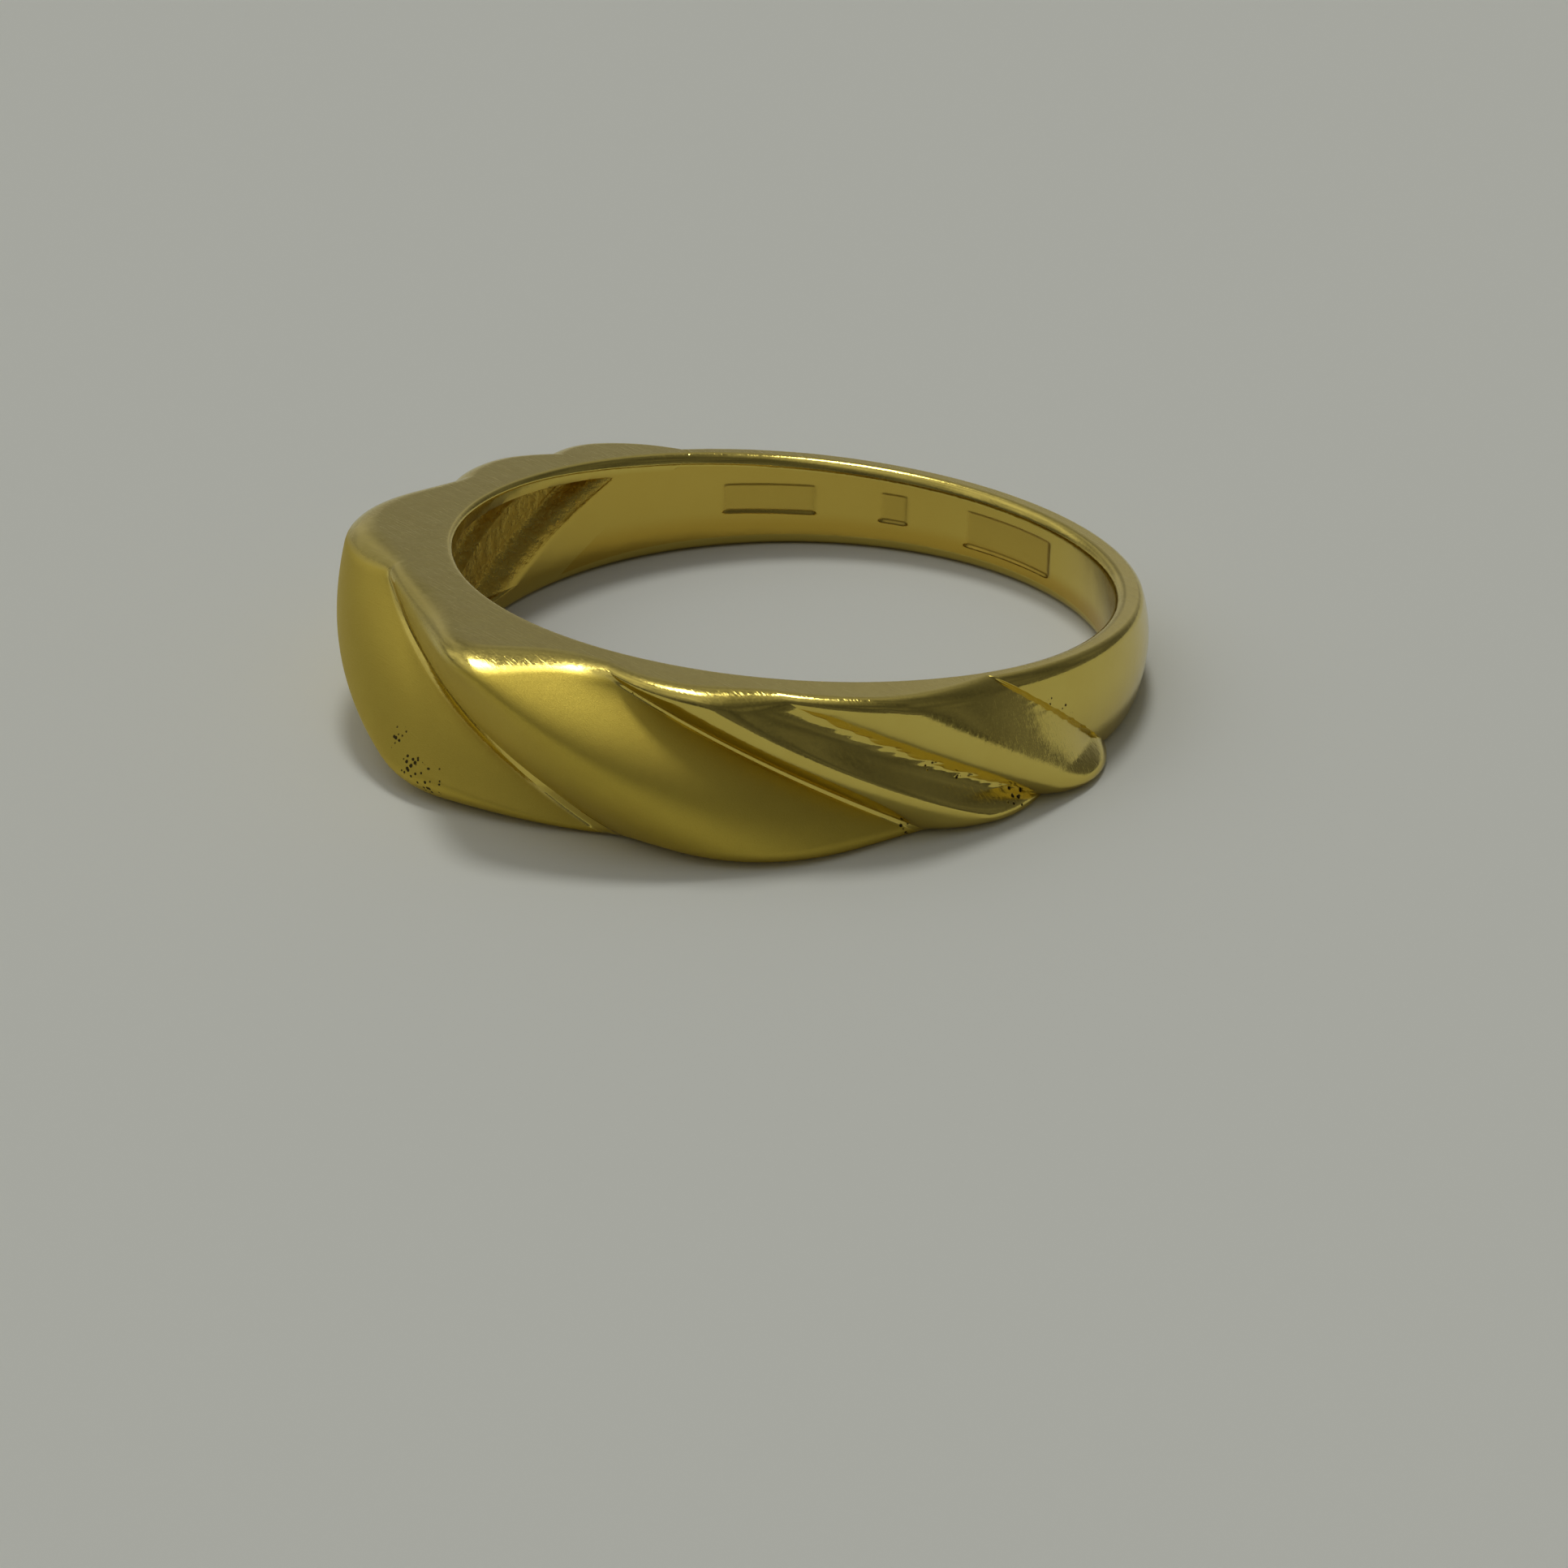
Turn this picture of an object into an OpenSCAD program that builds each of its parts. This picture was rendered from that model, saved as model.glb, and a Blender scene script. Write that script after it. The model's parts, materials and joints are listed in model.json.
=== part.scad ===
// Rope-pattern wedding band, lying on one flat side face.
//
// The design is worked out in the ring's own frame: the bore axis is Z, the head (the carved
// front) points to -Y, and turns are measured from the head's centre towards +X. The two flat
// side faces lean towards each other at the back, so the finished ring is tipped by side_taper
// to lie flat, with the bore's centre kept at the origin.
//
// Left and right halves of the head are the same carving turned half a turn about Y, apart from
// the satin lobes, which differ a little.

/* [Finger size] */
// Inside diameter of the bore
bore_d = 17.0; // [15.5:0.1:19.5]

/* [Side faces] */
// Distance between the side faces, measured along the bore axis at its centre
mid_width = 3.18; // [2.9:0.02:3.6]
// Lean of each side face, in degrees: the band is widest at the head
side_taper = 3.4; // [2.5:0.1:4.2]

/* [Shank] */
// Thickness of the plain band at its middle
shank_t = 0.93; // [0.8:0.01:1.1]
// Radius of the crown across the plain band
crown_r = 5.8; // [3.5:0.1:8]
// Turn from the head's centre to where the head meets the shank
shoulder_turn = 100; // [97:1:102]
// Slope of that joint: run around the band for each unit of height
shoulder_slope = 1.45; // [1.2:0.05:1.7]

/* [Carved lobes] */
// Height of the broad satin lobes above the bore
satin_height = 3.05; // [2.8:0.05:3.4]
// Height of the first narrow ridge above the bore
ridge_height = 1.9; // [1.75:0.05:2.2]
// Height of the last narrow ridge above the bore
end_height = 1.65; // [1.5:0.05:1.8]
// Rounding where the lobes meet the side faces, measured along the bore axis
edge_round = 0.26; // [0.1:0.02:0.3]

/* [Hollow back] */
// Metal left between the carving and the hollow behind it
lobe_wall = 1.1; // [0.9:0.05:1.3]
// Least depth of the hollow, measured from the bore
hollow_depth = 0.5; // [0.3:0.05:0.6]
// Width of the lip left along each side of the hollow
lip_w = 0.45; // [0.35:0.01:0.6]

/* [Stamps] */
// Depth of the blank stamped panels in the bore
stamp_depth = 0.06; // [0.04:0.01:0.12]

/* [Hidden] */

$fn = 96;
bore_r = bore_d / 2;
reach = 40;            // larger than the ring, for cutting it with half spaces
spare = 0.3;           // metal left inside the bore line, for the bore to cut away
overrun = 1.04;        // the lobes start out this much wider than the side faces
polished = [0.74, 0.62, 0.26];
satin = [0.66, 0.56, 0.22];

// The lobes. The left satin lobe is fuller than the right one; the others are the same each side.
SATIN = 0;
RIDGE = 1;
END = 2;
LEFT_SATIN = 3;
first_crease = [0, 1, 2, 0];    // number of the crease on each lobe's left
SHOULDER = 3;                   // number of the last crease, where the shank begins

steps_across = 16;     // facets across a lobe
steps_along = 20;      // facets along a lobe

// Creases 0 to 2 and the lobes' crests: turn at mid height, lean towards the bottom, and bow.
crease_mid = [0, 47, 70];
crease_lean = [28, 25, 22];
crease_bow = [0, 3, 1.5];
crest_mid = [25.5, 58.5, 80.5, 23];
crest_lean = [21.5, 24, 18.5, 24.5];
crest_bow = [2, 1, 2, 4];

// Heights above the bore: [at mid height, change towards the top face, change towards both faces].
// The last crease lies flush with the plain band, whose crown falls by shank_drop to its edges.
shank_drop = crown_r - sqrt(crown_r * crown_r - mid_width * mid_width / 4);
crease_rise = [[1.8, 0, 0], [1.42, -0.07, 0.05], [1.25, 0, 0.15], [shank_t, 0, -shank_drop]];
crest_rise = [[satin_height, 0.28, -0.05], [ridge_height, -0.04, -0.06],
              [end_height, -0.12, 0.05], [satin_height, 0.22, -0.05]];

// How slowly a satin flank rises from its crease, as [left flank, right flank]
satin_power = [0.75, 0.8];
// The same where a side face cuts the lobe to a point, for the right satin lobe and the left
point_power = [[3.3, 3.6], [1.2, 3.6]];
// How steeply the narrow ridges rise on the left
steep_flank = 2.3;
// How hollow their right flanks are, and how full those are at the closed lower end
open_flank = [0, 1.8, 1.2];
closed_flank = [0, 1.5, 1.8];
ridge_round = 0.3;     // softness of a narrow ridge's crest, as a share of its flank
groove_depth = 0.13;   // depth of the groove between the last ridge and the shank
edge_breadth = 1.5;    // how much broader than high the rounding of the lobes' edges is

function mix(a, b, t) = a + (b - a) * t;
function clamp(t) = min(1, max(0, t));
function smooth(t) = let (c = clamp(t)) c * c * (3 - 2 * c);

// Half the distance between the side faces at radius r and turn a
function half_width(r, a) = mid_width / 2 + r * cos(a) * tan(side_taper);

// Value at level h (-1 at the lower side face, 1 at the upper) of a curve given as above
function curve(c, h) = c[0] + c[1] * h + c[2] * h * h;

// The shoulder joint is a plane through the bore's centre. Turn at which it meets radius r and
// level h: each round puts the last guess back in, and it settles fast.
function shoulder(h, r, rounds = 6) =
    let (a = rounds == 0 ? shoulder_turn : shoulder(h, r, rounds - 1))
    shoulder_turn - asin(shoulder_slope * h * half_width(r, a) / r);

function crease(i, h, r) =
    i == SHOULDER ? shoulder(h, r) : crease_mid[i] - crease_lean[i] * h + crease_bow[i] * (1 - h * h);
function crest(i, h) = crest_mid[i] - crest_lean[i] * h + crest_bow[i] * (1 - h * h);

// Height of a flank that meets its partner in a narrow rounded ridge at v = 1
function ridge_share(v, power) =
    let (full = norm([1, ridge_round]) - ridge_round)
    pow(clamp(1 - (norm([1 - v, ridge_round]) - ridge_round) / full), power);

// 0 where a ridge's right flank is open, 1 where the ridge bends round and closes it off
function closing(h) = smooth((-0.5 - h) / 0.32);

// Share of the crest's rise at v (0 at the crease, 1 at the crest), on the left or right flank
function swell(i, side, v, h) =
    i == SATIN || i == LEFT_SATIN
    ? mix(pow(sin(90 * v), satin_power[side] + 0.6 * h * h),
          ridge_share(v, point_power[i == SATIN ? 0 : 1][side]), clamp(pow((1 + h) / 2, 4)))
    : side == 0 ? 1 - pow(1 - v, steep_flank)
    : mix(ridge_share(v, open_flank[i]), 1 - pow(1 - v, closed_flank[i]), closing(h));

// Depth of the groove along the last ridge's right flank
function groove(i, side, v, h) =
    i == END && side == 1
    ? groove_depth * smooth(v / 0.04) * (1 - v) * (1 - closing(h)) : 0;

function edge_fall(h) =
    let (share = 2 * edge_round / mid_width,
         t = clamp((abs(h) - 1 + share) / share))
    edge_breadth * edge_round * (1 - sqrt(1 - t * t));

// Radius of the carving on lobe i at u (0 and 1 at its creases, 0.5 at its crest) and level h
function carved_r(i, u, h) =
    let (side = u < 0.5 ? 0 : 1,
         v = u < 0.5 ? 2 * u : 2 - 2 * u,
         low = curve(crease_rise[first_crease[i] + side], h))
    bore_r + mix(low, curve(crest_rise[i], h), swell(i, side, v, h)) - groove(i, side, v, h)
    - edge_fall(h);

// The hollow behind it, which runs out into the bore halfway across the last lobe
function hollow_r(i, u, h) =
    let (deep = max(hollow_depth, carved_r(i, u, h) - lobe_wall - bore_r),
         shut = i == END ? smooth((u - 0.4) / 0.25) : 0)
    bore_r + mix(deep, -spare, shut);

// Levels of the two sheets' rows. The hollow's outer rows stand on the lips.
lip_level = 1 - 2 * lip_w / mid_width;
lip_slope = 0.03;
function carved_level(j) = overrun * sin(90 * (2 * j / steps_along - 1));
function on_lip(j) = j < 2 || j > steps_along - 2;
function hollow_level(j) =
    j == 0 ? -overrun
    : j == 1 ? -lip_level - lip_slope
    : j == steps_along - 1 ? lip_level + lip_slope
    : j == steps_along ? overrun
    : lip_level * (2 * (j - 2) / (steps_along - 4) - 1);

// Point of lobe i at u along row j, on the carving or on the hollow behind it
function lobe_point(i, u, j, outside) =
    let (h = outside ? carved_level(j) : hollow_level(j),
         r = outside ? carved_r(i, u, h) : on_lip(j) ? bore_r - spare : hollow_r(i, u, h),
         k = first_crease[i],
         a = u < 0.5 ? mix(crease(k, h, r), crest(i, h), 2 * u)
                     : mix(crest(i, h), crease(k + 1, h, r), 2 * u - 1))
    [r * sin(a), -r * cos(a), h * half_width(r, a)];

// Everything on the head's side of the right shoulder joint. It laps a little over the middle
// plane, where it meets its partner on the left.
module before_right_shoulder() intersection() {
    rotate([0, 0, shoulder_turn]) rotate([0, -atan(shoulder_slope), 0])
        translate([-2 * reach, -reach, -reach]) cube(2 * reach);
    translate([-1, -reach, -reach]) cube(2 * reach);
}

module left_half() rotate([0, 180, 0]) children();

module above_side()
    rotate([-side_taper, 0, 0]) translate([-reach, -reach, mid_width / 2 * cos(side_taper)])
        cube(2 * reach);

// Cuts a piece with the bore and the two side faces
module trim() difference() {
    children();
    cylinder(r = bore_r, h = 2 * reach, center = true);
    above_side();
    left_half() above_side();
}

// A blank panel sunk into the bore wall at turn a
module stamp(a, wide, tall, z)
    rotate([0, 0, a]) translate([-wide / 2, -bore_r - stamp_depth, z - tall / 2])
        cube([wide, 2, tall]);

module shank_section() intersection() {
    translate([bore_r - spare, -mid_width]) square([spare + shank_t, 2 * mid_width]);
    translate([bore_r + shank_t - crown_r, 0]) circle(crown_r);
}

module shank_body() difference() {
    trim() rotate_extrude() shank_section();
    before_right_shoulder();
    left_half() before_right_shoulder();
    stamp(-128, 2.6, 0.9, 0.1);
    stamp(-151, 0.9, 0.9, 0.1);
    stamp(-176, 3.2, 1.1, 0);
}

// One carved lobe: the carving, the hollow behind it and the four walls between them. The
// walls' diagonals swap at mid height, so that both halves of the head share one centre wall.
module lobe_blank(i) {
    row = steps_across + 1;
    sheet = row * (steps_along + 1);
    points = [for (outside = [true, false], j = [0 : steps_along], k = [0 : steps_across])
                  lobe_point(i, k / steps_across, j, outside)];
    function at(side, j, k) = side * sheet + j * row + k;
    function flip(faces, yes) = yes ? [for (f = faces) [f[2], f[1], f[0]]] : faces;
    function split(a, b, c, d, swap) = swap ? [[a, b, d], [b, c, d]] : [[a, b, c], [a, c, d]];
    sheets = [for (j = [0 : steps_along - 1], k = [0 : steps_across - 1], side = [0, 1])
                  each flip(split(at(side, j, k), at(side, j, k + 1),
                                  at(side, j + 1, k + 1), at(side, j + 1, k), false), side == 0)];
    ends = [for (j = [0 : steps_along - 1], k = [0, steps_across])
                each flip(split(at(0, j, k), at(0, j + 1, k), at(1, j + 1, k), at(1, j, k),
                                j >= steps_along / 2), k == 0)];
    rims = [for (k = [0 : steps_across - 1], j = [0, steps_along])
                each flip(split(at(0, j, k), at(0, j, k + 1), at(1, j, k + 1), at(1, j, k),
                                false), j > 0)];
    polyhedron(points, concat(sheets, ends, rims));
}

module lobe_body(i) trim() lobe_blank(i);

// Tips a piece from the ring's own frame so that the lower side face lies level
module lie_flat() rotate([-side_taper, 0, 0]) children();

module shank() color(polished) lie_flat() shank_body();
module right_satin_lobe() color(satin) lie_flat() lobe_body(SATIN);
module right_ridge_lobe() color(polished) lie_flat() lobe_body(RIDGE);
module right_end_lobe() color(polished) lie_flat() lobe_body(END);
module left_satin_lobe() color(satin) lie_flat() left_half() lobe_body(LEFT_SATIN);
module left_ridge_lobe() color(polished) lie_flat() left_half() lobe_body(RIDGE);
module left_end_lobe() color(polished) lie_flat() left_half() lobe_body(END);

shank();
right_satin_lobe();
right_ridge_lobe();
right_end_lobe();
left_satin_lobe();
left_ridge_lobe();
left_end_lobe();
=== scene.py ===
"""Rope-pattern gold wedding band: its finished surfaces and a small studio.

The carving is worked out in the ring's own frame, in millimetres: the bore axis is Z, the head
points to -Y, and turns are in degrees from the head's centre towards +X. A level runs from -1 at
the lower side face to 1 at the upper one. Left and right halves of the head are the same carving
turned half a turn about Y, apart from the satin lobes, which differ a little. place() brings a
finished piece into the frame of the CAD model.
"""

import json
import math

import bpy
import numpy as np
from mathutils import Matrix, Vector
from mathutils.geometry import tessellate_polygon


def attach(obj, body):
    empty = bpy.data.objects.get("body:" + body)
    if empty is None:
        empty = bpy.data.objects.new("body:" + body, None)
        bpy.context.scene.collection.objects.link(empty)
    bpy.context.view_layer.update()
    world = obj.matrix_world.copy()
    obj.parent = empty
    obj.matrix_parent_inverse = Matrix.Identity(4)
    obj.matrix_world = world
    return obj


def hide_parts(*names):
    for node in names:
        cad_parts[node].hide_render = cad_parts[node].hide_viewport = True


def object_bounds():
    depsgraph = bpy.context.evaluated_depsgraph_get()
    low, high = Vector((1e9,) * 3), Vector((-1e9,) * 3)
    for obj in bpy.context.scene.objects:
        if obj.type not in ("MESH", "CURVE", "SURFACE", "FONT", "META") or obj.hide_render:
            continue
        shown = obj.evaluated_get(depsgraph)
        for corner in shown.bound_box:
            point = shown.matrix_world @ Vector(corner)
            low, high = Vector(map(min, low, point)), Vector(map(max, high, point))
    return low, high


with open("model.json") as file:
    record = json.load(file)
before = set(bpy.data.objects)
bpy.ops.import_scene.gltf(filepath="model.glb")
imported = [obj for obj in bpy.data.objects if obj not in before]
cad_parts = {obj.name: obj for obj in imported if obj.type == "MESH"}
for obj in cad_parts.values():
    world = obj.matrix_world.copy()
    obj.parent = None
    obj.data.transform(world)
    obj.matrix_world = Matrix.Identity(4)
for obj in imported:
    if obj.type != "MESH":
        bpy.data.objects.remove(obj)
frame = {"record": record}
CAD_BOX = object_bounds()

MM = 0.001
BORE = next(m for m in frame["record"]["mounts"] if m["name"] == "finger_bore")
BORE_R = BORE["dims"]["r_mm"]
TAPER = math.degrees(math.asin(BORE["axis"][1]))
MID_WIDTH = -2 * CAD_BOX[0].z / MM / math.cos(math.radians(TAPER))
SLOTS = {s["node"]: s["material_slot"] for s in frame["record"]["subparts"]}

# ---------------------------------------------------------------- driving dimensions

SHANK_T = 0.93
SHANK_DROP = 0.22                      # fall of its crown to the edges
SHOULDER_TURN = 100
SHOULDER_SLOPE = 1.45                  # tangent of the slant of the joint at the shoulder
RIM_RISE = 1.5                         # height above the bore at which the lobes are measured
SATIN_HEIGHT = 3.03
RIDGE_HEIGHT = 1.9
END_HEIGHT = 1.64
GROOVE_DEPTH = 0.13                    # of the groove between the last ridge and the shank
LOBE_WALL = 1.1
HOLLOW_DEPTH = 0.5
LIP_W = 0.45                           # of the plain rims on both sides of the hollow
LIP_BEND = 0.04                        # levels over which a lip turns into the hollow's wall
LIP_FOOT = 0.07                        # levels from a lip to the even rows of the hollow
STAMP_DEPTH = 0.06
STAMP_EDGE = (0.15, 0.12)              # softness of a panel's ends and of its long edges

# The lobes. The left satin lobe is fuller than the right one; the others are the same each side.
SATIN, RIDGE, END, LEFT_SATIN = range(4)
FIRST_CREASE = (0, 1, 2, 0)            # number of the crease on each lobe's left
SHOULDER = 3                           # number of the last crease, where the shank begins

# Creases 0 to 2 and the lobes' crests: turn at mid height, lean towards the bottom, and bow
CREASE_MID, CREASE_LEAN, CREASE_BOW = (0, 47, 70), (28, 25, 22), (0, 3, 1.5)
CREST_MID, CREST_LEAN, CREST_BOW = (25.5, 58.5, 80.5, 23), (21.5, 24, 18.5, 24.5), (2, 1, 2, 4)
CREASE_JAG = (0, 0, 0.9, 0.2)          # degrees by which a filed crease wanders
JAG_WAVES = ((0.5, 1500, 70), (0.35, 2700, 0), (0.2, 4100, 0))    # share, rate and phase

# Heights above the bore: at mid height, change towards the top, change towards both faces
CREASE_RISE = ((1.8, 0, 0), (1.42, -0.07, 0.05), (1.25, 0, 0.15), (SHANK_T, 0, -SHANK_DROP))
CREST_RISE = ((SATIN_HEIGHT, 0.28, -0.05), (RIDGE_HEIGHT, -0.04, -0.06),
              (END_HEIGHT, -0.12, 0.05), (SATIN_HEIGHT, 0.22, -0.05))

SATIN_POWER = (0.75, 0.8)              # how slowly a satin flank rises, left and right
POINT_POWER = {SATIN: (3.3, 3.6), LEFT_SATIN: (1.2, 3.6)}    # the same where it narrows to a point
POINT_CORNER = {SATIN: 0.2, LEFT_SATIN: 0.45}                # extra rounding of its edge there
STEEP_FLANK = 2.3                      # how steeply the narrow ridges rise on the left
OPEN_FLANK = (0, 1.8, 1.2)             # how hollow their right flanks are
CLOSED_FLANK = (0, 1.5, 1.8)           # how full those are at the closed lower end
RIDGE_ROUND = 0.3
VALLEY = 0.05                          # share of a satin flank left flat at its crease
BRIGHT_EDGE = (0.13, 0.07)             # mm left polished beside a satin lobe's creases

# Where the finish has dark pits: piece, turn, level, size in mm
PITS = (("shank", 93.5, 0.45, 0.2), ("shank", 98, 0.2, 0.2),
        ("right_ridge_lobe", 85, -0.68, 0.3), ("right_ridge_lobe", 76, -0.25, 0.16),
        ("right_ridge_lobe", 71, 0.02, 0.14), ("right_ridge_lobe", 55, 0.74, 0.12),
        ("right_satin_lobe", 67.5, -0.78, 0.22), ("right_satin_lobe", 28.5, 0.8, 0.12),
        ("left_satin_lobe", 3.5, 0.6, 0.24), ("left_satin_lobe", 0.0, 0.72, 0.26),
        ("left_satin_lobe", 7.0, 0.42, 0.2))

# Blank stamped panels in the bore: turn, width, height, and height of the middle
STAMPS = ((232, 2.6, 0.9, 0.1), (209, 0.9, 0.9, 0.1), (184, 3.2, 1.1, 0.0))

ACROSS = 80      # facets across a lobe
ALONG = 120      # facets along it, without its rounded edges
AROUND = 300    # facets round the shank
ACROSS_BORE = 60                       # rows of the shank's bore wall
ROUND_STEPS = 8                        # facets round an edge
ARC = np.linspace(0, 90, ROUND_STEPS + 1)
SHARP_ABOVE = 38                       # degrees between faces, from which an edge looks sharp


# ---------------------------------------------------------------- the carving's formulas

def sin(a):
    return np.sin(np.radians(a))


def cos(a):
    return np.cos(np.radians(a))


def mix(a, b, t):
    return a + (b - a) * t


def smooth(t):
    t = np.clip(t, 0, 1)
    return t * t * (3 - 2 * t)


def arc_mm(a, r):
    """Length in mm of a turn of a degrees at radius r."""
    return a * math.pi / 180 * r


def half_width(r, a):
    """Half the distance between the side faces at radius r and turn a."""
    return MID_WIDTH / 2 + r * cos(a) * math.tan(math.radians(TAPER))


def curve(c, h):
    """Height at level h from its three numbers."""
    return c[0] + c[1] * h + c[2] * h * h


def shoulder(h, r):
    """Turn at which the plane joint between the last lobe and the shank meets level h."""
    a = SHOULDER_TURN
    for _ in range(7):                 # the width depends on the turn, so it is closed in on
        a = SHOULDER_TURN - np.degrees(np.arcsin(SHOULDER_SLOPE * h * half_width(r, a) / r))
    return a


def jag(i, h, near):
    """Turn by which the rough line of a crease wanders at level h, where near is 1."""
    wave = sum(share * sin(rate * h + phase) for share, rate, phase in JAG_WAVES)
    return CREASE_JAG[i] * wave * (1 - h * h) * smooth(near)


def crease(i, h, r):
    """Turn of crease i at level h and radius r."""
    if i == SHOULDER:
        return shoulder(h, r)
    return CREASE_MID[i] - CREASE_LEAN[i] * h + CREASE_BOW[i] * (1 - h * h)


def crest(i, h):
    """Turn of lobe i's crest at level h."""
    return CREST_MID[i] - CREST_LEAN[i] * h + CREST_BOW[i] * (1 - h * h)


def turn(i, u, h, r):
    """Turn of lobe i at u: 0 and 1 at its creases, 0.5 at its crest."""
    k = FIRST_CREASE[i]
    if u < 0.5:
        return mix(crease(k, h, r), crest(i, h), 2 * u) + jag(k, h, 1 - 8 * u)
    return mix(crest(i, h), crease(k + 1, h, r), 2 * u - 1) + jag(k + 1, h, 1 - 8 * (1 - u))


def ridge_share(v, power):
    """Height of a flank that meets its partner in a narrow rounded ridge at v = 1."""
    full = math.hypot(1, RIDGE_ROUND) - RIDGE_ROUND
    fall = (np.hypot(1 - v, RIDGE_ROUND) - RIDGE_ROUND) / full
    return np.power(np.clip(1 - fall, 0, 1), power)


def closing(h):
    """0 where a ridge's right flank is open, 1 where the ridge bends round and closes it off."""
    return smooth((-0.5 - h) / 0.32)


def swell(i, side, v, h):
    """Share of the crest's rise at v: 0 at the crease, 1 at the crest."""
    if i in POINT_POWER:
        v = max(0, (v - VALLEY) / (1 - VALLEY))
        flank = np.power(np.clip(sin(90 * v), 0, 1), SATIN_POWER[side] + 0.6 * h * h)
        return mix(flank, ridge_share(v, POINT_POWER[i][side]), np.power((1 + h) / 2, 4))
    if side == 0:
        return 1 - np.power(1 - v, STEEP_FLANK) + 0 * h
    return mix(ridge_share(v, OPEN_FLANK[i]), 1 - np.power(1 - v, CLOSED_FLANK[i]), closing(h))


def carved_r(i, u, h):
    """Radius of lobe i's outside at u and level h."""
    side, v = (0, 2 * u) if u < 0.5 else (1, 2 - 2 * u)
    low = curve(CREASE_RISE[FIRST_CREASE[i] + side], h)
    rise = mix(low, curve(CREST_RISE[i], h), swell(i, side, v, h))
    if i == END and side == 1:
        groove = smooth(v / 0.04) * (1 - v)
        rise = rise - GROOVE_DEPTH * groove * (1 - closing(h))
    return BORE_R + rise


def hollow_r(i, u, h):
    """The hollow behind the carving, which runs out into the bore across the last lobe."""
    deep = np.maximum(HOLLOW_DEPTH, carved_r(i, u, h) - LOBE_WALL - BORE_R)
    shut = smooth((u - 0.25) / 0.4) if i == END else 0
    return BORE_R + deep * (1 - shut)


def breadth(a):
    """How much broader than high the rounding of an outer edge is at turn a."""
    return float(mix(2.1, 1.1, smooth((min(abs(a), 360 - a) - 5) / 80)))


def shank_round(a):
    """Rounding of the shank's outer edges, larger where it meets the head."""
    return float(mix(0.28, 0.12, smooth((min(a, 360 - a) - 80) / 60)))


def lobe_round(i, u, a_top, a_low):
    """(upper, lower) rounding of a lobe's outer edges."""
    if i in POINT_POWER:
        upper = mix(0.28, 0.32, u) + POINT_CORNER[i] * smooth(1 - abs(u - 0.4) / 0.4)
        lower = mix(0.28, mix(0.45, 0.36, smooth((u - 0.8) / 0.2)), smooth(u / 0.25))
        return float(upper), float(lower)
    if i == RIDGE:
        return 0.32, 0.36
    out = float(smooth((u - 0.55) / 0.45))
    return mix(0.32, shank_round(a_top), out), mix(0.36, shank_round(a_low), out)


def bore_round(a):
    """Rounding of the bore's edges: finger-worn on the shank."""
    return mix(0.16, 0.3, smooth((min(abs(a), 360 - a) - 70) / 40))


# ---------------------------------------------------------------- sections

def outer_rows(r_of, rounds, turns, w):
    """(r, level, lean) of the rows over the outside, from the lower rounded edge to the upper."""
    top, low = (v / w for v in rounds)
    top_fall, low_fall = (v * breadth(a) for v, a in zip(rounds, turns))
    flat = np.linspace(-1 + low, 1 - top, ALONG + 1)
    low_h, top_h = (-1 + low - low * sin(ARC[1:]))[::-1], 1 - top + top * sin(ARC[1:])
    h = np.concatenate([low_h, flat, top_h])
    fall = np.concatenate([(low_fall * (1 - cos(ARC[1:])))[::-1], 0 * flat,
                           top_fall * (1 - cos(ARC[1:]))])
    lean = np.concatenate([ARC[:0:-1], 0 * flat, ARC[1:]]) / 90
    return r_of(h) - fall, h, lean


def face_rows(r_edge, inner_round, w):
    """(r, level) of the rows over the upper side face and round the bore's edge."""
    face = mix(r_edge, BORE_R + inner_round, np.array([0.05, 0.3, 0.6, 0.93]))
    r = np.concatenate([face, BORE_R + inner_round * (1 - sin(ARC))])
    h = np.concatenate([1 + 0 * face, 1 - inner_round / w * (1 - cos(ARC))])
    return r, h


class Section:
    """One closed loop of points round the metal, with what the shader masks need at each."""

    def __init__(self, outside, top_face, inside, low_face, turn_of):
        self.r = np.concatenate([outside[0], top_face[0], inside[0], low_face[0][::-1]])
        self.h = np.concatenate([outside[1], top_face[1], inside[1], -low_face[1][::-1]])
        self.a = turn_of(self.h, self.r)
        self.z = self.h * half_width(self.r, self.a)
        self.points = np.stack([self.r * sin(self.a), -self.r * cos(self.a), self.z], -1)
        n_out, n_face, n_low = len(outside[0]), len(top_face[0]), len(low_face[0])
        self.outer = np.arange(len(self.r)) < n_out
        self.inner = np.zeros(len(self.r), bool)
        self.inner[n_out + n_face:len(self.r) - n_low] = True
        self.lean = np.ones(len(self.r))
        self.lean[:n_out] = outside[2]
        self.masks = {}


def crease_gap(a, b, r):
    """Distance across the carving between turns a and b, for creases that lean as these do."""
    return arc_mm(np.abs(a - b), r) * 0.4


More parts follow.
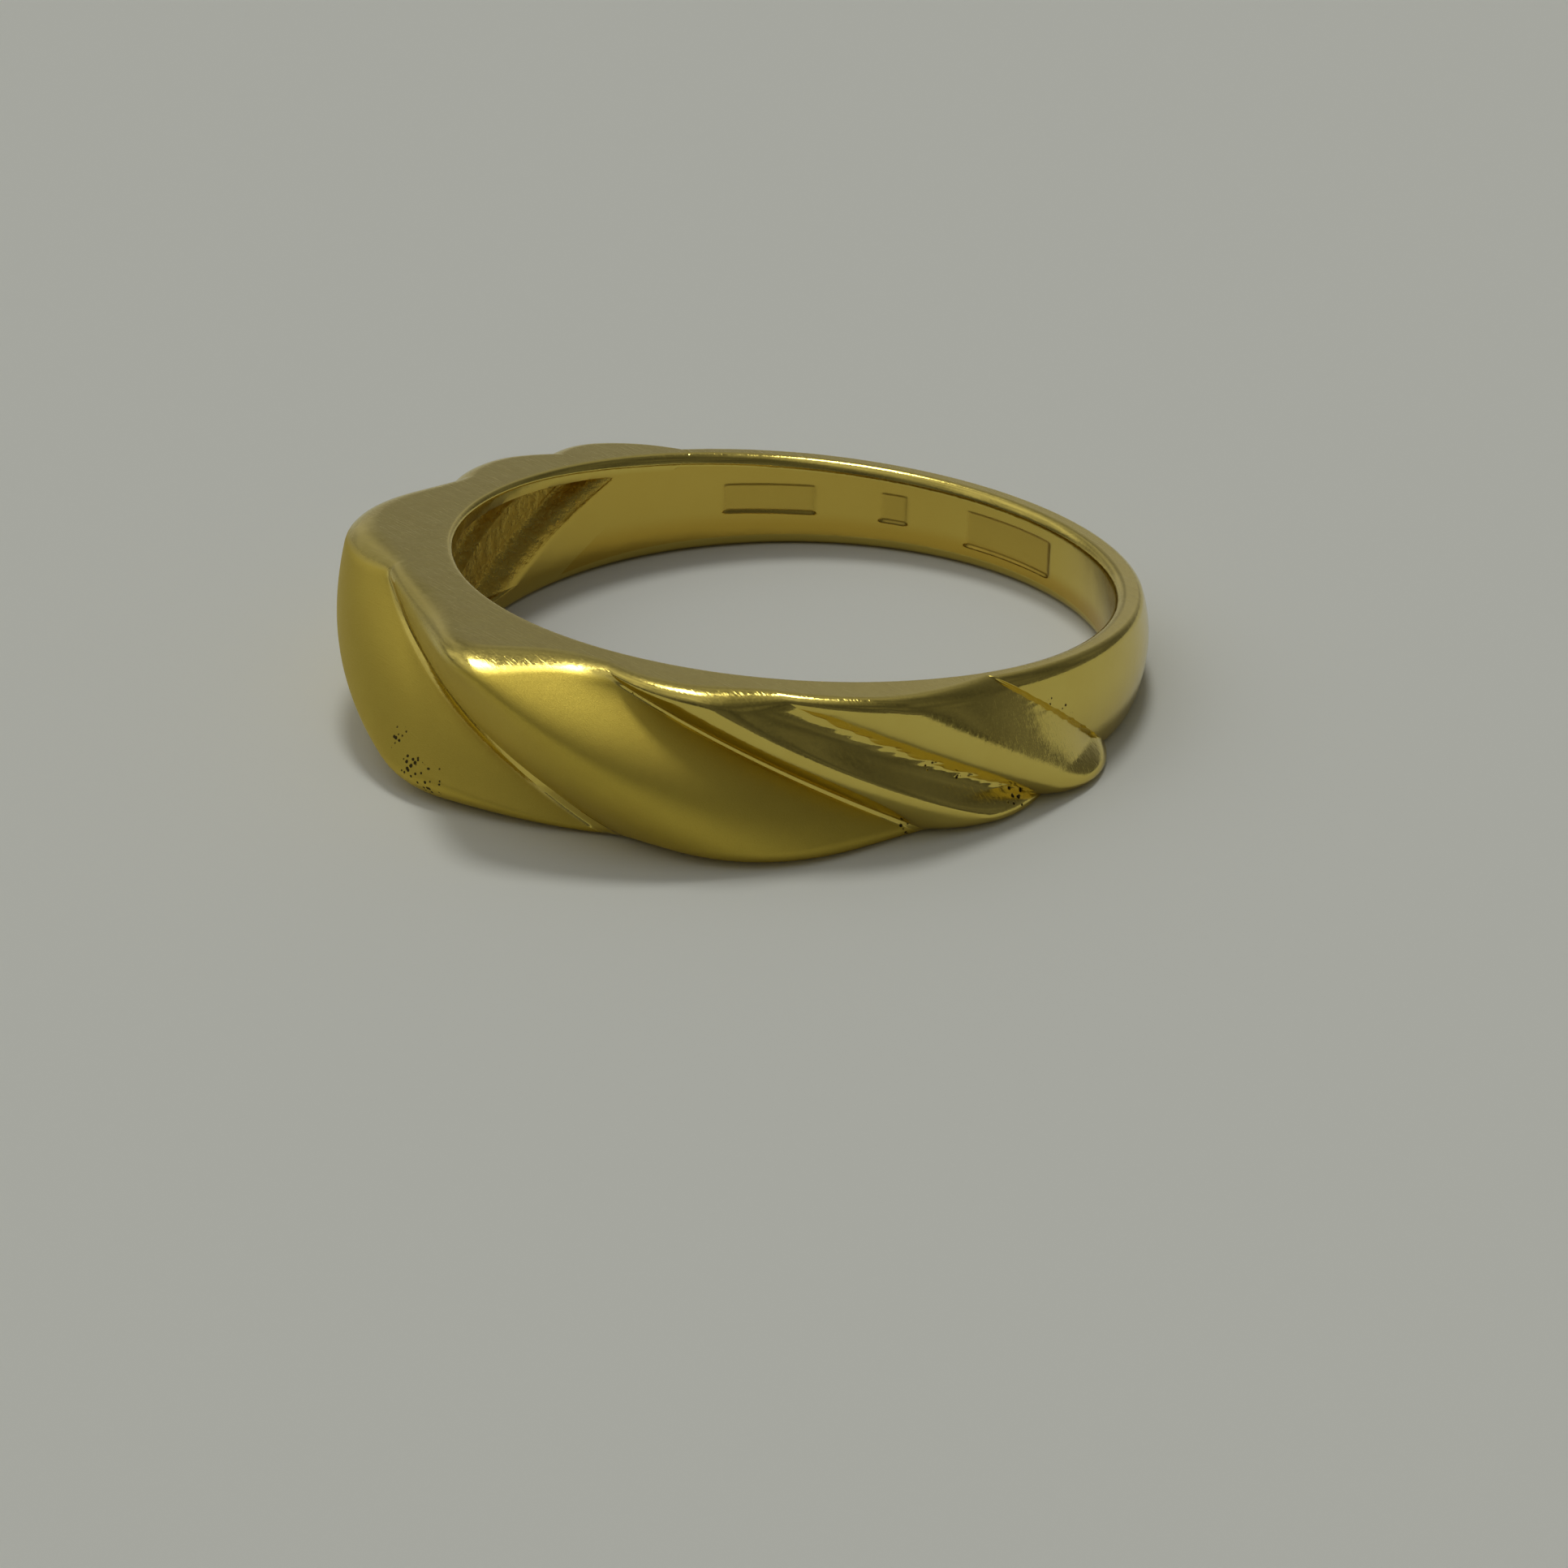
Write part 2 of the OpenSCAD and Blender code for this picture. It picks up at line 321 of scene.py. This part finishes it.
def lobe_section(i, u):
    """The loop round lobe i at u, hollow behind."""
    rim = BORE_R + RIM_RISE
    a_top, a_low = (float(turn(i, u, h, rim)) for h in (1.0, -1.0))
    w = float(half_width(rim, turn(i, u, 0.0, rim)))
    rounds = lobe_round(i, u, a_top, a_low)
    outside = outer_rows(lambda h: carved_r(i, u, h), rounds, (a_top, a_low), w)
    top_face = face_rows(outside[0][-1], bore_round(a_top), w)
    low_face = face_rows(outside[0][0], bore_round(a_low), w)
    lip = 1 - LIP_W / w
    down = 1 - cos(ARC)
    floor_top, floor_low = hollow_r(i, u, np.array([lip, -lip]))
    lip_h = lip - LIP_BEND * sin(ARC)
    level = np.linspace(lip - LIP_FOOT, LIP_FOOT - lip, ALONG // 2)
    inside = (np.concatenate([mix(BORE_R, floor_top, down), hollow_r(i, u, level),
                              mix(BORE_R, floor_low, down)[::-1]]),
              np.concatenate([lip_h, level, -lip_h[::-1]]))
    s = Section(outside, top_face, inside, low_face, lambda h, r: turn(i, u, h, r))
    left_gap = crease_gap(s.a, crease(FIRST_CREASE[i], s.h, s.r), s.r)
    right_gap = crease_gap(s.a, crease(FIRST_CREASE[i] + 1, s.h, s.r), s.r)
    s.masks["hollow"] = s.inner * smooth((s.r - BORE_R) / 0.15)
    s.masks["stamp"] = np.zeros(len(s.r))
    keep = 1
    for gap, bright in zip((left_gap, right_gap), BRIGHT_EDGE):
        keep = keep * smooth((gap - bright) / 0.05)
    s.masks["satin"] = s.outer * (i in POINT_POWER) * keep
    return s


def stamped(a, z):
    """How far a point of the bore wall lies inside a stamped panel, from 0 to 1."""
    sunk = 0
    for centre, wide, tall, middle in STAMPS:
        across = smooth((wide / 2 - arc_mm(np.abs(a - centre), BORE_R)) / STAMP_EDGE[0])
        up = smooth((tall / 2 - np.abs(z - middle)) / STAMP_EDGE[1])
        sunk = np.maximum(sunk, across * up)
    return sunk


def shank_turn(v, h, r):
    """Turn at v: 0 at the right shoulder, 1 at the left. The lean fades out between them."""
    right = shoulder(h, r) + jag(SHOULDER, h, 1 - 200 * v)
    left = 360 - shoulder(-h, r) - jag(SHOULDER, -h, 1 - 200 * (1 - v))
    straight = mix(SHOULDER_TURN, 360 - SHOULDER_TURN, v)
    return mix(mix(right, left, v), straight, smooth(min(v, 1 - v) / 0.25))


def shank_section(v):
    """The loop round the shank at v, crowned outside and stamped inside."""
    rim = BORE_R + SHANK_T
    middle = shank_turn(v, 0.0, rim)
    w = float(half_width(rim, middle))
    a_top, a_low = (float(shank_turn(v, h, rim)) for h in (1.0, -1.0))
    rounds = shank_round(a_top), shank_round(a_low)
    outside = outer_rows(lambda h: rim - SHANK_DROP * h * h, rounds, (a_top, a_low), w)
    top_face = face_rows(outside[0][-1], bore_round(a_top), w)
    low_face = face_rows(outside[0][0], bore_round(a_low), w)
    level = np.linspace(top_face[1][-1], -low_face[1][-1], ACROSS_BORE)[1:-1]
    wall_turn = shank_turn(v, level, BORE_R)
    sunk = stamped(wall_turn, level * half_width(BORE_R, wall_turn))
    inside = (BORE_R + STAMP_DEPTH * sunk, level)
    s = Section(outside, top_face, inside, low_face, lambda h, r: shank_turn(v, h, r))
    s.masks["hollow"] = np.zeros(len(s.r))
    # Painted warm shade and reflection on the bore wall: up to 0.6 over the back and left of the
    # bore, full towards the lower face.
    round_back = 0.6 * smooth((s.a - 140) / 70)
    s.masks["warm"] = s.inner * mix(round_back, 1, smooth((-0.15 - s.h) / 0.4))
    s.masks["stamp"] = s.inner * smooth((s.r - BORE_R) / STAMP_DEPTH)
    s.masks["satin"] = np.zeros(len(s.r))
    return s


# ---------------------------------------------------------------- meshes

def place(points, left):
    """From the ring's own frame to the CAD frame, in metres, turning a left-half piece over."""
    if left:
        points = points * np.array([-1, 1, -1])
    c, s = math.cos(math.radians(TAPER)), math.sin(math.radians(TAPER))
    x, y, z = points.T
    return np.stack([x, y * c + z * s, z * c - y * s], -1) * MM


def skin(sections):
    """Faces of a tube through the sections, closed at both ends."""
    n = len(sections[0].r)
    faces = []
    for k in range(len(sections) - 1):
        for m in range(n):
            p, q = k * n + m, k * n + (m + 1) % n
            faces.append((p, p + n, q + n, q))
    for k, s in ((0, sections[0]), (len(sections) - 1, sections[-1])):
        outline = [Vector((r, z, 0)) for r, z in zip(s.r, s.z)]
        for tri in tessellate_polygon([outline]):
            faces.append(tuple(k * n + m for m in tri))
    return faces


def pitted(node, s):
    """Strength of the dark pits at each point of a section."""
    strength = np.zeros(len(s.r))
    for piece, a, h, size in PITS:
        if piece == node:
            gap = np.hypot(arc_mm(s.a - a, s.r), (s.h - h) * MID_WIDTH / 2)
            strength = np.maximum(strength, s.outer * np.exp(-(gap / size) ** 2))
    return strength


def make_piece(node, sections, left=False):
    """The finished piece that stands in for a CAD node."""
    mesh = bpy.data.meshes.new(node + "_skin")
    points = place(np.concatenate([s.points for s in sections]), left)
    mesh.from_pydata(points.tolist(), [], skin(sections))
    for s in sections:
        s.masks["dirt"] = pitted(node, s)
        upper = s.h < 0 if left else s.h > 0
        s.masks["satin"] = s.masks["satin"] * np.where(upper, smooth((0.35 - s.lean) / 0.2), 1)
        # The left lobes' bore walls and hollow carry on the shank's painted warm shade and
        # reflection at 0.6.
        if node != "shank":
            s.masks["warm"] = s.inner * (0.6 if left else 0.0)
    for name in ("dirt", "hollow", "satin", "stamp", "warm"):
        values = np.concatenate([s.masks[name] for s in sections]).astype(np.float32)
        mesh.attributes.new(name, "FLOAT", "POINT").data.foreach_set("value", values)
    mesh.polygons.foreach_set("use_smooth", [True] * len(mesh.polygons))
    piece = bpy.data.objects.new(node + "_skin", mesh)
    bpy.context.scene.collection.objects.link(piece)
    bpy.context.view_layer.objects.active = piece
    piece.select_set(True)
    bpy.ops.object.mode_set(mode="EDIT")
    bpy.ops.mesh.select_all(action="SELECT")
    bpy.ops.mesh.normals_make_consistent(inside=False)
    bpy.ops.object.mode_set(mode="OBJECT")
    piece.select_set(False)
    mesh.set_sharp_from_angle(angle=math.radians(SHARP_ABOVE))
    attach(piece, "root")
    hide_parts(node)
    return piece


def lobe_sections(i):
    """Sections crowd together at the creases, where the carving turns fastest."""
    return [lobe_section(i, float(0.5 - 0.5 * cos(180 * k / ACROSS))) for k in range(ACROSS + 1)]


# ---------------------------------------------------------------- materials

STREAK_TILT = (0.3, 0.5, 0.8)          # radians by which stretched noise is turned


class Nodes:
    """Short names for the node calls that the materials repeat."""

    def __init__(self, name):
        self.material = bpy.data.materials.new(name)
        self.material.use_nodes = True
        self.tree = self.material.node_tree
        self.shader = self.tree.nodes["Principled BSDF"]
        self.place = self.add("ShaderNodeTexCoord").outputs["Object"]

    def add(self, kind, **values):
        node = self.tree.nodes.new(kind)
        for key, value in values.items():
            setattr(node, key, value)
        return node

    def join(self, source, socket):
        if isinstance(source, (int, float, tuple)):
            socket.default_value = source
        else:
            self.tree.links.new(source, socket)

    def mask(self, name):
        return self.add("ShaderNodeAttribute", attribute_name=name).outputs["Fac"]

    def noise(self, per_mm, detail=3, rough=0.55, stretch=None):
        """Noise with about per_mm bumps to the millimetre."""
        node = self.add("ShaderNodeTexNoise")
        place = self.place
        if stretch:
            shape = self.add("ShaderNodeMapping")
            self.join(self.place, shape.inputs["Vector"])
            shape.inputs["Scale"].default_value = stretch
            shape.inputs["Rotation"].default_value = STREAK_TILT
            place = shape.outputs["Vector"]
        self.join(place, node.inputs["Vector"])
        node.inputs["Scale"].default_value = per_mm / MM
        node.inputs["Detail"].default_value = detail
        node.inputs["Roughness"].default_value = rough
        return node.outputs["Fac"]

    def dots(self, per_mm):
        """Distance, in cells, to the nearest of about per_mm points to the millimetre."""
        node = self.add("ShaderNodeTexVoronoi")
        self.join(self.place, node.inputs["Vector"])
        node.inputs["Scale"].default_value = per_mm / MM
        return node.outputs["Distance"]

    def maths(self, operation, a, b):
        node = self.add("ShaderNodeMath", operation=operation)
        self.join(a, node.inputs[0])
        self.join(b, node.inputs[1])
        return node.outputs[0]

    def ramp(self, value, low, high, out_low=0.0, out_high=1.0):
        """Smooth step of value from out_low at low to out_high at high."""
        node = self.add("ShaderNodeMapRange", interpolation_type="SMOOTHSTEP")
        self.join(value, node.inputs["Value"])
        for key, v in (("From Min", low), ("From Max", high),
                       ("To Min", out_low), ("To Max", out_high)):
            self.join(v, node.inputs[key])
        return node.outputs["Result"]

    def blend(self, factor, a, b):
        """Mix of two colours."""
        node = self.add("ShaderNodeMix", data_type="RGBA")
        self.join(factor, node.inputs["Factor"])
        self.join(a, node.inputs[6])
        self.join(b, node.inputs[7])
        return node.outputs[2]

    def between(self, factor, a, b):
        """Mix of two numbers."""
        node = self.add("ShaderNodeMix", data_type="FLOAT")
        self.join(factor, node.inputs[0])
        self.join(a, node.inputs[2])
        self.join(b, node.inputs[3])
        return node.outputs[0]

    def bump(self, height, depth_mm, under=None):
        """Normal of a relief depth_mm deep, laid over the normal under it."""
        node = self.add("ShaderNodeBump")
        node.inputs["Strength"].default_value = 1
        node.inputs["Distance"].default_value = depth_mm * MM
        self.join(height, node.inputs["Height"])
        if under:
            self.join(under, node.inputs["Normal"])
        return node.outputs["Normal"]


POLISH = (0.70, 0.56, 0.13, 1)
MATTE = (0.62, 0.48, 0.078, 1)
DEEPER = (0.8, 0.68, 0.45)             # what gold that faces gold keeps of its colour: painted reflection and shade in the bore and hollow, stamped panels, random patches
GRIME = (0.08, 0.06, 0.02, 1)
PALE = (0.83, 0.84, 0.755, 1)


def gold(name, polish_color, satin_color):
    """Gold with one finish where the satin mask is 0 and another where it is 1, with painted
    reflection and shade in the bore and hollow.
    """
    n = Nodes(name)
    satin, dirt, hollow = n.mask("satin"), n.mask("dirt"), n.mask("hollow")
    stamp, warm = n.mask("stamp"), n.mask("warm")

    patch = n.noise(0.9, 4, 0.6)
    fine = n.noise(14, 3, 0.6)
    grain = n.noise(34, 2, 0.7)
    mottle = n.noise(3.2, 5, 0.65)
    hair = n.noise(1.1, 2, 0.5, stretch=(1, 22, 6))

    tint = n.blend(satin, polish_color, satin_color)
    deep = tuple(c * f for c, f in zip(polish_color, DEEPER)) + (1,)
    tint = n.blend(n.ramp(patch, 0.35, 0.7, 0, 0.12), tint, deep)
    # Painted reflection of gold in gold in the hollow: 0.2 to 0.95 of the way to the deeper
    # colour, in mottled patches.
    tint = n.blend(n.maths("MULTIPLY", hollow, n.ramp(mottle, 0.4, 0.62, 0.2, 0.95)), tint, deep)
    # Painted warm shade and reflection on the bore wall; the stamped panels are tinted 0.6 of the
    # way to the deeper colour.
    tint = n.blend(n.maths("MAXIMUM", n.maths("MULTIPLY", stamp, 0.6), warm), tint, deep)

    hole = n.maths("SUBTRACT", n.dots(7), n.maths("MULTIPLY", dirt, 0.3))
    grime = n.maths("MULTIPLY", n.ramp(hole, 0.2, 0.08), n.ramp(dirt, 0.15, 0.3))
    tint = n.blend(grime, tint, GRIME)
    n.join(tint, n.shader.inputs["Base Color"])

    polish_rough = n.ramp(fine, 0.3, 0.7, 0.1, 0.2)
    satin_rough = n.ramp(grain, 0.3, 0.7, 0.5, 0.62)
    rough = n.between(satin, polish_rough, satin_rough)
    rough = n.between(hollow, rough, n.ramp(mottle, 0.35, 0.65, 0.2, 0.42))
    rough = n.between(stamp, rough, 0.32)
    rough = n.between(grime, rough, 0.75)
    n.join(rough, n.shader.inputs["Roughness"])
    n.shader.inputs["Metallic"].default_value = 1

    sway = n.bump(n.noise(4, 2, 0.5), 0.0016, n.bump(patch, 0.012))
    scratch = n.bump(n.ramp(hair, 0.55, 0.75), 0.0012, sway)
    sand = n.bump(n.maths("MULTIPLY", grain, satin), 0.004, scratch)
    cast = n.bump(n.maths("MULTIPLY", mottle, hollow), 0.09, sand)
    n.join(n.bump(n.maths("MULTIPLY", grime, -1.0), 0.01, cast), n.shader.inputs["Normal"])
    return n.material


def pale_floor():
    n = Nodes("pale_floor")
    n.shader.inputs["Base Color"].default_value = PALE
    n.shader.inputs["Roughness"].default_value = 0.9
    n.shader.inputs["Specular IOR Level"].default_value = 0.1
    return n.material


MATERIALS = {"polished_gold": gold("polished_gold", POLISH, MATTE),
             "satin_gold": gold("satin_gold", POLISH, MATTE)}

# ---------------------------------------------------------------- the ring

# The carvings of each pair of lobes, the right one and the left one
LOBES = (("satin", SATIN, LEFT_SATIN), ("ridge", RIDGE, RIDGE), ("end", END, END))

shank_sections = [shank_section(float(v)) for v in np.linspace(0, 1, AROUND + 1)]
pieces = [make_piece("shank", shank_sections)]
for word, right, left in LOBES:
    pieces.append(make_piece(f"right_{word}_lobe", lobe_sections(right)))
    pieces.append(make_piece(f"left_{word}_lobe", lobe_sections(left), left=True))
for piece in pieces:
    piece.data.materials.append(MATERIALS[SLOTS[piece.name.removesuffix("_skin")]])

# ---------------------------------------------------------------- studio

FLOOR_Z = CAD_BOX[0].z
FLOOR_R = 0.65                         # metres, as are the next two
RIM_FROM, RIM_OVER = 0.3, 0.5          # where the floor starts to curve up, and over how much
RIM_HEIGHT = 0.09
FLOOR_RINGS, FLOOR_SIDES = 24, 96


def add_floor():
    """A level floor whose far rim curves up, so that low views see it and not the room."""
    mesh = bpy.data.meshes.new("floor")
    rings, sides = FLOOR_RINGS, FLOOR_SIDES
    points = [(0, 0, FLOOR_Z)]
    for k in range(1, rings + 1):
        out = FLOOR_R * k / rings
        rise = RIM_HEIGHT * float(smooth((out - RIM_FROM) / RIM_OVER))
        for j in range(sides):
            a = 2 * math.pi * j / sides
            points.append((out * math.cos(a), out * math.sin(a), FLOOR_Z + rise))
    faces = [(0, 1 + j, 1 + (j + 1) % sides) for j in range(sides)]
    for k in range(rings - 1):
        for j in range(sides):
            p, q = 1 + k * sides + j, 1 + k * sides + (j + 1) % sides
            faces.append((p, p + sides, q + sides, q))
    mesh.from_pydata(points, [], faces)
    mesh.polygons.foreach_set("use_smooth", [True] * len(mesh.polygons))
    mesh.materials.append(pale_floor())
    floor = bpy.data.objects.new("floor", mesh)
    bpy.context.scene.collection.objects.link(floor)


# Soft lights in the sky: azimuth, elevation, outer and inner half angle, radiance
GLOWS = ((250, 15, 60, 15, 0.2), (310, 60, 50, 25, 0.35), (232, 64, 8, 5.5, 14.0))
ROOM_LIGHT = 0.10                      # radiance of the room behind them
CLUTTER_SCALE, CLUTTER_DETAIL = 3.5, 3
CLUTTER_RANGE = (("From Min", 0.35), ("From Max", 0.65), ("To Min", 0.6), ("To Max", 1.4))


def add_sky():
    """A plain dim uneven room with soft light from above and behind on the left."""
    world = bpy.data.worlds.new("room")
    world.use_nodes = True
    nodes, links = world.node_tree.nodes, world.node_tree.links
    direction = nodes.new("ShaderNodeTexCoord").outputs["Generated"]
    clutter = nodes.new("ShaderNodeTexNoise")
    links.new(direction, clutter.inputs["Vector"])
    clutter.inputs["Scale"].default_value = CLUTTER_SCALE
    clutter.inputs["Detail"].default_value = CLUTTER_DETAIL
    uneven = nodes.new("ShaderNodeMapRange")
    links.new(clutter.outputs["Fac"], uneven.inputs["Value"])
    for key, v in CLUTTER_RANGE:
        uneven.inputs[key].default_value = v
    shade = nodes.new("ShaderNodeMath")
    shade.operation = "MULTIPLY"
    links.new(uneven.outputs["Result"], shade.inputs[0])
    total = ROOM_LIGHT
    for azimuth, elevation, wide, narrow, strength in GLOWS:
        a, e = math.radians(azimuth), math.radians(elevation)
        facing = nodes.new("ShaderNodeVectorMath")
        facing.operation = "DOT_PRODUCT"
        links.new(direction, facing.inputs[0])
        facing.inputs[1].default_value = (math.sin(a) * math.cos(e), -math.cos(a) * math.cos(e),
                                          math.sin(e))
        glow = nodes.new("ShaderNodeMapRange")
        glow.interpolation_type = "SMOOTHSTEP"
        links.new(facing.outputs["Value"], glow.inputs["Value"])
        for key, v in (("From Min", math.cos(math.radians(wide))),
                       ("From Max", math.cos(math.radians(narrow))), ("To Max", strength)):
            glow.inputs[key].default_value = v
        add = nodes.new("ShaderNodeMath")
        links.new(glow.outputs["Result"], add.inputs[0])
        if isinstance(total, float):
            add.inputs[1].default_value = total
        else:
            links.new(total, add.inputs[1])
        total = add.outputs[0]
    links.new(total, shade.inputs[1])
    links.new(shade.outputs[0], nodes["Background"].inputs["Strength"])
    nodes["Background"].inputs["Color"].default_value = (1, 1, 1, 1)
    bpy.context.scene.world = world


CAMERA_TURNS = (49.93, 25.77, -0.77)   # azimuth, elevation and roll in degrees
CAMERA_DISTANCE = 0.150
CAMERA_AIM = (0.00493, -0.00417)
LENS_PER_SENSOR = 3.839                # focal length in sensor widths
CLIP_NEAR, CLIP_FAR = 0.01, 10


def add_camera():
    """The camera stands in front of the right-hand lobes and looks down on the ring."""
    azimuth, elevation, roll = (math.radians(v) for v in CAMERA_TURNS)
    aim = Vector((*CAMERA_AIM, FLOOR_Z))
    away = Vector((math.sin(azimuth) * math.cos(elevation),
                   -math.cos(azimuth) * math.cos(elevation), math.sin(elevation)))
    right = Vector((math.cos(azimuth), math.sin(azimuth), 0))
    up = away.cross(right)
    c, s = math.cos(roll), math.sin(roll)
    axes = Matrix((c * right + s * up, c * up - s * right, away)).transposed()
    data = bpy.data.cameras.new("camera")
    data.lens = LENS_PER_SENSOR * data.sensor_width
    data.clip_start, data.clip_end = CLIP_NEAR, CLIP_FAR
    camera = bpy.data.objects.new("camera", data)
    camera.matrix_world = Matrix.Translation(aim + away * CAMERA_DISTANCE) @ axes.to_4x4()
    bpy.context.scene.collection.objects.link(camera)
    bpy.context.scene.camera = camera


add_floor()
add_sky()
add_camera()
bpy.context.scene.view_settings.view_transform = "Standard"
